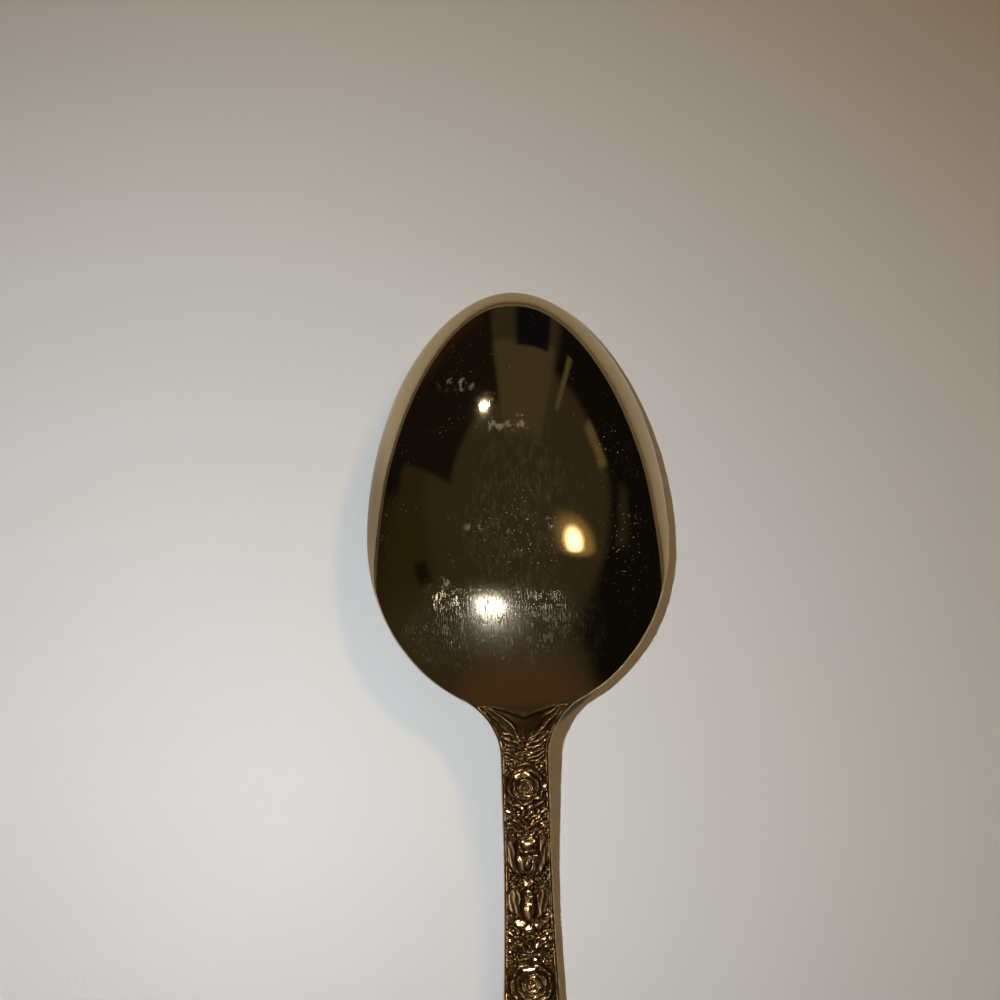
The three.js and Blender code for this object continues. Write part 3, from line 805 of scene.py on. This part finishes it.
def cavity_of(height):
    """Height against its surroundings: below 0 in recesses, above 0 on crests."""
    around = height.copy()
    for _ in range(CAVITY_STEPS):
        padded = np.pad(around, 1, mode="edge")
        around = (padded[:-2, 1:-1] + padded[2:, 1:-1] + padded[1:-1, :-2] + padded[1:-1, 2:]) / 4
    return height - around


def make_handle():
    rows = handle_rows()
    both = zip(pressed_face(rows, BACK_COLUMNS, 1), pressed_face(rows, FRONT_COLUMNS, -1))
    x, along, z, raised, pressed = (np.concatenate([a, b[:, ::-1]], axis=1) for a, b in both)
    points = np.stack([x, along, z], -1)
    count = points.shape[1]
    faces = grid_faces(len(rows), count, True)[:, ::-1].tolist()
    faces.append(list(range(count)))
    faces.append(list(range((len(rows) - 1) * count, len(rows) * count))[::-1])
    points = points.reshape(-1, 3)
    piece = add_mesh("spoon_handle", points, faces)
    for name, values in (("raised", raised), ("pressed", pressed)):
        attribute = piece.data.attributes.new(name, "FLOAT", "POINT")
        attribute.data.foreach_set("value", values.reshape(-1).astype(np.float32))
    on_joint = np.arange(len(points)) <= BACK_COLUMNS
    match_joint(piece, points, on_joint)
    return piece


# Materials
class Nodes:
    """Short way to add nodes to a tree and to join them."""

    def __init__(self, tree):
        self.tree = tree
        tree.nodes.clear()

    def add(self, kind, settings=None, **inputs):
        node = self.tree.nodes.new("ShaderNode" + kind)
        for name, value in (settings or {}).items():
            setattr(node, name, value)
        for name, value in inputs.items():
            socket = self.socket(node, name)
            if isinstance(value, bpy.types.NodeSocket):
                self.tree.links.new(value, socket)
            else:
                socket.default_value = value
        return node

    @staticmethod
    def socket(node, name):
        wanted = name.replace("_", " ")
        if wanted.split(" ")[0] == "input":
            return node.inputs[int(wanted.split(" ")[1])]
        return next(s for s in node.inputs if s.name == wanted and s.enabled)

    def math(self, operation, a, b=0.0, clamp=False):
        node = self.add("Math", {"operation": operation, "use_clamp": clamp}, input_0=a, input_1=b)
        return node.outputs[0]

    def ramp(self, value, low, high, to_low=0.0, to_high=1.0):
        settings = {"interpolation_type": "SMOOTHSTEP", "clamp": True}
        limits = {"From_Min": low, "From_Max": high, "To_Min": to_low, "To_Max": to_high}
        return self.add("MapRange", settings, Value=value, **limits).outputs[0]

    def blend(self, share, a, b):
        node = self.add("Mix", {"data_type": "RGBA"}, Factor=share, A=a, B=b)
        return next(s for s in node.outputs if s.enabled)

    def noise(self, vector, scale, detail=2.0, roughness=0.5):
        settings = {"Scale": scale, "Detail": detail, "Roughness": roughness}
        return self.add("TexNoise", None, Vector=vector, **settings).outputs[0]


def colour(rgb):
    return (*rgb, 1.0)


def new_material(name):
    material = bpy.data.materials.new(name)
    material.use_nodes = True
    return material, Nodes(material.node_tree)


HAIRLINE_STRETCH = 0.04
HAIRLINE_WIDTH = 0.05


def scratches(nodes, vector, angle, scale, breaks):
    """Fine straight hairlines in one direction, broken into short lengths."""
    drawn = {"Rotation": (0, 0, angle), "Scale": (1, HAIRLINE_STRETCH, 1)}
    turned = nodes.add("Mapping", None, Vector=vector, **drawn).outputs[0]
    edges = {"feature": "DISTANCE_TO_EDGE", "voronoi_dimensions": "2D"}
    cells = nodes.add("TexVoronoi", edges, Vector=turned, Scale=scale)
    line = nodes.ramp(cells.outputs["Distance"], HAIRLINE_WIDTH, 0.0)
    gaps = nodes.ramp(nodes.noise(vector, breaks), 0.52, 0.62)
    return nodes.math("MULTIPLY", line, gaps)


def spot_mask(nodes, position, centre, radius):
    """1 round a place on the spoon, fading out to its radius in each direction."""
    offset = nodes.add("VectorMath", {"operation": "SUBTRACT"}, input_0=position, input_1=centre).outputs[0]
    shrink = [1 / r for r in radius]
    scaled = nodes.add("VectorMath", {"operation": "MULTIPLY"}, input_0=offset, input_1=shrink).outputs[0]
    length = nodes.add("VectorMath", {"operation": "LENGTH"}, input_0=scaled).outputs["Value"]
    return nodes.ramp(length, 1.0, 0.25)


def on_bowl(x, along, height=0.0):
    """Place in metres from millimetres across, along and up."""
    return (x * MM, (TIP_Y - along) * MM, height * MM)


slot_colours = {m["slot"]: m["base_color"] for m in frame["record"]["materials"]}
GOLD = slot_colours["polished_gold"]
DARK_GOLD = slot_colours["antique_gold"]
WORN = (0.50, 0.455, 0.37)
FILM = (0.55, 0.50, 0.42)
PATINA = (0.50, 0.27, 0.11)
# Dark colour of the handle's recesses: painted shade where the 'raised' share is low
RECESS_SHADE_COLOUR = (0.06, 0.034, 0.014)
WEAR_PLACE = on_bowl(-2.0, 46.4)
WEAR_RADIUS = (0.0185, 0.0095, 1.0)
# Spots and patches: across, along, half width and half length in millimetres
WATER_SPOTS = [
    (-2.6, 19.0, 3.4, 1.6), (-7.5, 13.3, 3.6, 1.5), (-3.6, 15.6, 1.8, 1.4), (-10.0, 40.0, 1.6, 1.6),
    (0.9, 18.6, 1.9, 1.6), (-5.9, 32.5, 1.8, 1.0), (4.6, 32.6, 0.9, 0.9), (-0.8, 33.4, 1.1, 0.8),
]
DUST_PATCHES = [
    (-11.0, 47.5, 7.0, 4.5), (14.5, 36.0, 5.0, 9.0), (13.0, 22.0, 3.5, 5.0), (1.0, 34.0, 10.0, 9.0),
]
# Darker patch on the left rim: painted shade that darkens the reflection there
LEFT_RIM_SHADE_PLACE = on_bowl(-21.5, 29.0)
LEFT_RIM_SHADE_RADIUS = (0.006, 0.016, 1.0)
SMUDGE_PLACE = on_bowl(0.5, 31.0)
SMUDGE_RADIUS = (0.011, 0.017, 1.0)
# Hairlines: angle, lines per metre and breaks per metre
HAIRLINES = [
    (0.12, 3200, 1100), (-0.22, 2600, 900), (0.9, 2300, 800), (1.5, 1900, 700), (-1.1, 2500, 760),
]
HAZE_SCALE = 90
DUST_SCALE = 260
SPECK_SCALE = 1500
SPECK_BREAKS = 1700
FILM_SCALE = 900
SMUDGE_SCALE = 1900
SMUDGE_STRETCH = 0.3
WEAR_MARKS = 1.1
STRAY_MARKS = 0.025
HAZE_SHARE = 0.5
HAZE_SHADE = 0.94
WEAR_SHARE = 0.7
# How far the left rim's painted shade goes, and how dark it makes the gold
LEFT_RIM_SHADE_SHARE = 0.75
LEFT_RIM_SHADE_DARKNESS = 0.4
FILM_DULLS = 0.28
SMUDGE_DULLS = 0.07
SPECKS_DULL = 0.4
DULL_TINT = 2.0
BOWL_ROUGHNESS = 0.03
ADDED_ROUGHNESS = {"haze": 0.012, "wear": 0.15, "marks": 0.2, "specks": 0.06}
SPECK_HEIGHT = 0.05
SCRATCH_STRENGTH = 0.4
RECESS_ROUGHNESS = 0.36
CREST_ROUGHNESS = 0.14
PLAIN_POLISH = 0.08
PATINA_SCALE = 500
PIT_SCALE = 2600
PIT_STRENGTH = 0.22
BUMP_DEPTH = 0.00003


def patches_mask(nodes, position, patches):
    """Largest of the masks round several patches."""
    total = 0.0
    for x, along, half_x, half_along in patches:
        mask = spot_mask(nodes, position, on_bowl(x, along), (half_x * MM, half_along * MM, 1.0))
        total = nodes.math("MAXIMUM", total, mask)
    return total


def polished_gold():
    material, nodes = new_material("polished_gold_plate")
    times = lambda a, b: nodes.math("MULTIPLY", a, b)
    plus = lambda a, b: nodes.math("ADD", a, b)
    position = nodes.add("TexCoord").outputs["Object"]
    wear = spot_mask(nodes, position, WEAR_PLACE, WEAR_RADIUS)
    # Mask of the painted shade on the left rim
    left_rim_shade = spot_mask(nodes, position, LEFT_RIM_SHADE_PLACE, LEFT_RIM_SHADE_RADIUS)
    haze = nodes.ramp(nodes.noise(position, HAZE_SCALE, 3), 0.35, 0.75)
    fine = 0.0
    for angle, scale, breaks in HAIRLINES:
        fine = nodes.math("MAXIMUM", fine, scratches(nodes, position, angle, scale, breaks))
    marks = times(fine, plus(times(wear, WEAR_MARKS), STRAY_MARKS))

    cells = nodes.add("TexVoronoi", {"voronoi_dimensions": "2D"}, Vector=position, Scale=SPECK_SCALE)
    dusty = nodes.ramp(nodes.noise(position, DUST_SCALE, 3), 0.5, 0.72, 0.0, 0.6)
    dusty = nodes.math("MAXIMUM", dusty, patches_mask(nodes, position, DUST_PATCHES))
    specks = times(nodes.ramp(cells.outputs["Distance"], 0.22, 0.06), dusty)
    specks = times(specks, nodes.ramp(nodes.noise(position, SPECK_BREAKS, 2), 0.5, 0.62))
    film = patches_mask(nodes, position, WATER_SPOTS)
    film = times(film, nodes.ramp(nodes.noise(position, FILM_SCALE, 4, 0.6), 0.5, 0.6))
    drawn = nodes.add("Mapping", None, Vector=position, Scale=(1, SMUDGE_STRETCH, 1)).outputs[0]
    smudge = nodes.ramp(nodes.noise(drawn, SMUDGE_SCALE, 5, 0.7), 0.44, 0.74)
    smudge = times(smudge, spot_mask(nodes, position, SMUDGE_PLACE, SMUDGE_RADIUS))
    dull = plus(times(film, FILM_DULLS), times(smudge, SMUDGE_DULLS))
    dull = plus(dull, times(specks, SPECKS_DULL))

    tint = nodes.blend(times(haze, HAZE_SHARE), colour(GOLD), colour([HAZE_SHADE * c for c in GOLD]))
    tint = nodes.blend(times(wear, WEAR_SHARE), tint, colour(WORN))
    # Painted shade: the gold on the left rim is darkened
    tint = nodes.blend(times(left_rim_shade, LEFT_RIM_SHADE_SHARE), tint, colour([LEFT_RIM_SHADE_DARKNESS * c for c in GOLD]))
    tint = nodes.blend(nodes.math("MULTIPLY", dull, DULL_TINT, True), tint, colour(FILM))
    rough = BOWL_ROUGHNESS
    for name, mask in (("haze", haze), ("wear", wear), ("marks", marks), ("specks", specks)):
        rough = plus(times(mask, ADDED_ROUGHNESS[name]), rough)
    metal = nodes.math("SUBTRACT", 1.0, dull)
    ridges = plus(marks, times(specks, SPECK_HEIGHT))
    grooves = {"Strength": SCRATCH_STRENGTH, "Distance": BUMP_DEPTH}
    bump = nodes.add("Bump", {"invert": True}, Height=ridges, **grooves).outputs[0]
    shader = nodes.add("BsdfPrincipled", None, Base_Color=tint, Metallic=metal, Roughness=rough, Normal=bump)
    nodes.add("OutputMaterial", None, Surface=shader.outputs[0])
    return material


# Handle's gold: where the 'raised' share is low the colour goes to the dark recess colour, painted shade
def antique_gold():
    material, nodes = new_material("gold_plate_painted_recess_shade")
    position = nodes.add("TexCoord").outputs["Object"]
    raised = nodes.add("Attribute", {"attribute_name": "raised"}).outputs["Fac"]
    pressed = nodes.add("Attribute", {"attribute_name": "pressed"}).outputs["Fac"]
    plain = nodes.math("SUBTRACT", 1.0, pressed)
    raised = nodes.math("MAXIMUM", nodes.ramp(raised, 0.22, 0.9), plain)
    patina = nodes.ramp(nodes.noise(position, PATINA_SCALE, 3), 0.3, 0.75, 0.75, 1.0)
    patina = nodes.math("MAXIMUM", patina, plain)
    body = nodes.blend(plain, colour([(a + b) / 2 for a, b in zip(DARK_GOLD, PATINA)]), colour(GOLD))
    # Painted shade: low 'raised' share gives the dark recess colour
    tint = nodes.blend(nodes.math("MULTIPLY", raised, patina), colour(RECESS_SHADE_COLOUR), body)
    rough = nodes.ramp(raised, 0.0, 1.0, RECESS_ROUGHNESS, CREST_ROUGHNESS)
    rough = nodes.math("SUBTRACT", rough, nodes.math("MULTIPLY", plain, PLAIN_POLISH))
    pits = nodes.noise(position, PIT_SCALE, 4, 0.65)
    strength = nodes.ramp(plain, 0.0, 1.0, PIT_STRENGTH, 0.0)
    bump = nodes.add("Bump", None, Strength=strength, Distance=BUMP_DEPTH, Height=pits).outputs[0]
    shader = nodes.add("BsdfPrincipled", None, Base_Color=tint, Metallic=1.0, Roughness=rough, Normal=bump)
    nodes.add("OutputMaterial", None, Surface=shader.outputs[0])
    return material


TABLE_TINTS = ((0.63, 0.62, 0.60), (0.60, 0.595, 0.585))
TABLE_CLOUDS = 9
TABLE_SIZE = 60.0


def table_top():
    material, nodes = new_material("pale_table")
    position = nodes.add("TexCoord").outputs["Object"]
    cloud = nodes.ramp(nodes.noise(position, TABLE_CLOUDS, 3), 0.3, 0.7)
    tint = nodes.blend(cloud, colour(TABLE_TINTS[0]), colour(TABLE_TINTS[1]))
    shader = nodes.add("BsdfPrincipled", None, Base_Color=tint, Roughness=0.75, Specular_IOR_Level=0.15)
    nodes.add("OutputMaterial", None, Surface=shader.outputs[0])
    return material


# Room, lamps and camera: azimuth 0 towards the tip and 90 towards +X, angles in degrees
CEILING = (0.049, 0.042, 0.026)
ROOM_HORIZON = (0.20, 0.19, 0.17)
HORIZON_FROM = 0.04
HORIZON_FULL = 0.02
LEAST_OVERHEAD = 0.05
WALL_PANELS = [
    {"azimuth": (-112, -74), "zenith": (47, 92), "soft": 5.0, "colour": (0.036, 0.030, 0.012)},
    {"azimuth": (-74, -8), "zenith": (30, 92), "soft": 2.0, "colour": (0.013, 0.010, 0.008)},
    {"azimuth": (-52, -14), "zenith": (78, 92), "soft": 5.0, "colour": (0.030, 0.016, 0.010)},
    {"azimuth": (-85, -70), "zenith": (70, 92), "soft": 4.0, "colour": (0.010, 0.009, 0.013)},
    {"azimuth": (-8, 27), "zenith": (20, 62), "soft": 3.0, "colour": (0.080, 0.070, 0.043)},
    {"azimuth": (2, 21), "zenith": (58, 92), "soft": 1.5, "colour": (0.007, 0.008, 0.013)},
    {"azimuth": (27, 140), "zenith": (48, 92), "soft": 4.0, "colour": (0.008, 0.007, 0.006)},
    {"azimuth": (34, 37), "zenith": (34, 66), "soft": 1.0, "colour": (0.13, 0.11, 0.06)},
    {"azimuth": (56, 74), "zenith": (43, 49), "soft": 2.0, "colour": (0.16, 0.13, 0.07)},
    {"azimuth": (84, 100), "zenith": (54, 62), "soft": 3.0, "colour": (0.030, 0.027, 0.019)},
    {"azimuth": (-112, -104), "zenith": (52, 60), "soft": 2.0, "colour": (0.012, 0.010, 0.007)},
]
PERSON = {"azimuth": 180, "elevation": 12, "inner": 26, "outer": 40, "colour": (0.094, 0.054, 0.031)}
# Soft patches of light overhead, placed by the slope of the way to them
SOFT_PATCHES = [
    {"x": 0.58, "y": -0.085, "half_x": 0.40, "half_y": 0.11, "tilt": -0.325, "colour": (0.50, 0.37, 0.14)},
    {"x": 0.53, "y": -0.075, "half_x": 0.18, "half_y": 0.062, "tilt": -0.325, "colour": (6.2, 5.0, 3.6)},
    {"x": -0.20, "y": -0.57, "half_x": 0.48, "half_y": 0.27, "tilt": 0.0, "colour": (0.18, 0.172, 0.158)},
    {"x": -0.30, "y": -0.55, "half_x": 0.34, "half_y": 0.18, "tilt": 0.0, "colour": (0.42, 0.41, 0.39)},
]
KEY = {
    "azimuth": -70, "elevation": 63.5, "distance": 0.6, "size": (0.02, 0.02), "roll": 0, "power": 0.1015,
    "colour": (0.88, 0.94, 1.0), "aim": (-34, 72), "spread": 30, "glossy": False, "diffuse": True,
}
SPARK = {
    "azimuth": -22, "elevation": 57.5, "distance": 0.6, "size": (0.03, 0.022), "roll": -49, "power": 1.5,
    "colour": (1.0, 0.93, 0.80), "aim": (0, 40), "spread": 180, "glossy": True, "diffuse": False,
}
GLOW = {
    "azimuth": -147, "elevation": 59, "distance": 0.5, "size": (0.14, 0.030), "roll": 10, "power": 0.2,
    "colour": (0.95, 0.97, 1.0), "aim": (0, 44), "spread": 180, "glossy": True, "diffuse": False,
}
LAMP = {
    "azimuth": 47, "elevation": 28, "distance": 1.2, "size": (0.045, 0.045), "roll": 0, "power": 5.0,
    "colour": (1.0, 0.60, 0.23), "aim": (0, 40), "spread": 180, "glossy": False, "diffuse": True,
}
TARGET = Vector(on_bowl(0, 36))


def direction(azimuth, elevation):
    """Unit vector towards a place in the room."""
    a, e = math.radians(azimuth), math.radians(elevation)
    return Vector((math.sin(a) * math.cos(e), math.cos(a) * math.cos(e), math.sin(e)))


def make_room():
    world = bpy.data.worlds.new("room")
    bpy.context.scene.world = world
    world.use_nodes = True
    nodes = Nodes(world.node_tree)
    ray = nodes.add("TexCoord").outputs["Generated"]
    axes = nodes.add("SeparateXYZ", None, Vector=ray).outputs
    degrees = 180 / math.pi
    azimuth = nodes.math("MULTIPLY", nodes.math("ARCTAN2", axes["X"], axes["Y"]), degrees)
    zenith = nodes.math("MULTIPLY", nodes.math("ARCCOSINE", axes["Z"]), degrees)
    towards = direction(PERSON["azimuth"], PERSON["elevation"])
    facing = nodes.add("VectorMath", {"operation": "DOT_PRODUCT"}, input_0=ray, input_1=towards)
    cosine = facing.outputs["Value"]
    outer, inner = (math.cos(math.radians(PERSON[k])) for k in ("outer", "inner"))
    tint = nodes.blend(nodes.ramp(cosine, outer, inner), colour(CEILING), colour(PERSON["colour"]))
    overhead = nodes.math("MAXIMUM", axes["Z"], LEAST_OVERHEAD)
    for patch in SOFT_PATCHES:
        across = nodes.math("SUBTRACT", nodes.math("DIVIDE", axes["X"], overhead), patch["x"])
        ahead = nodes.math("SUBTRACT", nodes.math("DIVIDE", axes["Y"], overhead), patch["y"])
        ahead = nodes.math("SUBTRACT", ahead, nodes.math("MULTIPLY", across, patch["tilt"]))
        across = nodes.math("DIVIDE", across, patch["half_x"])
        ahead = nodes.math("DIVIDE", ahead, patch["half_y"])
        away = nodes.math("ADD", nodes.math("MULTIPLY", across, across), nodes.math("MULTIPLY", ahead, ahead))
        share = nodes.ramp(away, 1.0, 0.0)
        share = nodes.math("MULTIPLY", share, share)
        tint = nodes.blend(share, tint, colour(patch["colour"]))
    for panel in WALL_PANELS:
        soft = panel["soft"]
        share = 1.0
        for value, limits in ((azimuth, panel["azimuth"]), (zenith, panel["zenith"])):
            inside = nodes.ramp(value, limits[0] - soft, limits[0] + soft)
            share = nodes.math("MULTIPLY", share, inside)
            share = nodes.math("MULTIPLY", share, nodes.ramp(value, limits[1] + soft, limits[1] - soft))
        tint = nodes.blend(share, tint, colour(panel["colour"]))
    tint = nodes.blend(nodes.ramp(axes["Z"], HORIZON_FROM, HORIZON_FULL), tint, colour(ROOM_HORIZON))
    background = nodes.add("Background", None, Color=tint, Strength=1.0)
    nodes.add("OutputWorld", None, Surface=background.outputs[0])


def make_lamp(name, lamp):
    data = bpy.data.lights.new(name, "AREA")
    data.shape = "ELLIPSE"
    data.size, data.size_y = lamp["size"]
    data.energy = lamp["power"]
    data.color = lamp["colour"]
    data.spread = math.radians(lamp["spread"])
    place = TARGET + direction(lamp["azimuth"], lamp["elevation"]) * lamp["distance"]
    piece = bpy.data.objects.new(name, data)
    piece.location = place
    piece.rotation_mode = "QUATERNION"
    away = (place - Vector(on_bowl(*lamp["aim"]))).normalized()
    across = (Vector((1, 0, 0)) - away * away.x).normalized()
    turn = Matrix((across, away.cross(across), away)).transposed().to_quaternion()
    piece.rotation_quaternion = turn @ Quaternion((0, 0, 1), math.radians(lamp["roll"]))
    piece.visible_camera = False
    piece.visible_glossy = lamp["glossy"]
    piece.visible_diffuse = lamp["diffuse"]
    bpy.context.scene.collection.objects.link(piece)


def make_table():
    bpy.ops.mesh.primitive_plane_add(size=TABLE_SIZE)
    table = bpy.context.object
    table.name = "table"
    table.data.materials.append(table_top())


CAMERA_HEIGHT = 199.0
SENSOR_WIDTH = 36.0
IMAGE_SIZE = 1000
PIXEL = 0.1405
IMAGE_CENTRE = (-2.33, 29.03)
ROLL = 1.75


def make_camera():
    data = bpy.data.cameras.new("camera")
    data.sensor_width = SENSOR_WIDTH
    data.lens = SENSOR_WIDTH * CAMERA_HEIGHT / (IMAGE_SIZE * PIXEL)
    camera = bpy.data.objects.new("camera", data)
    camera.location = on_bowl(*IMAGE_CENTRE, CAMERA_HEIGHT)
    camera.rotation_euler = (0, 0, -math.radians(ROLL))
    bpy.context.scene.collection.objects.link(camera)
    bpy.context.scene.camera = camera


def dress(piece, node, material):
    piece.data.materials.append(material)
    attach(piece, "root")
    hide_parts(node)


bpy.context.scene.view_settings.view_transform = "Standard"
make_room()
make_table()
for name, lamp in (("key", KEY), ("spark", SPARK), ("glow", GLOW), ("warm_lamp", LAMP)):
    make_lamp(name, lamp)
make_camera()
dress(make_bowl(), "bowl", polished_gold())
dress(make_handle(), "handle", antique_gold())
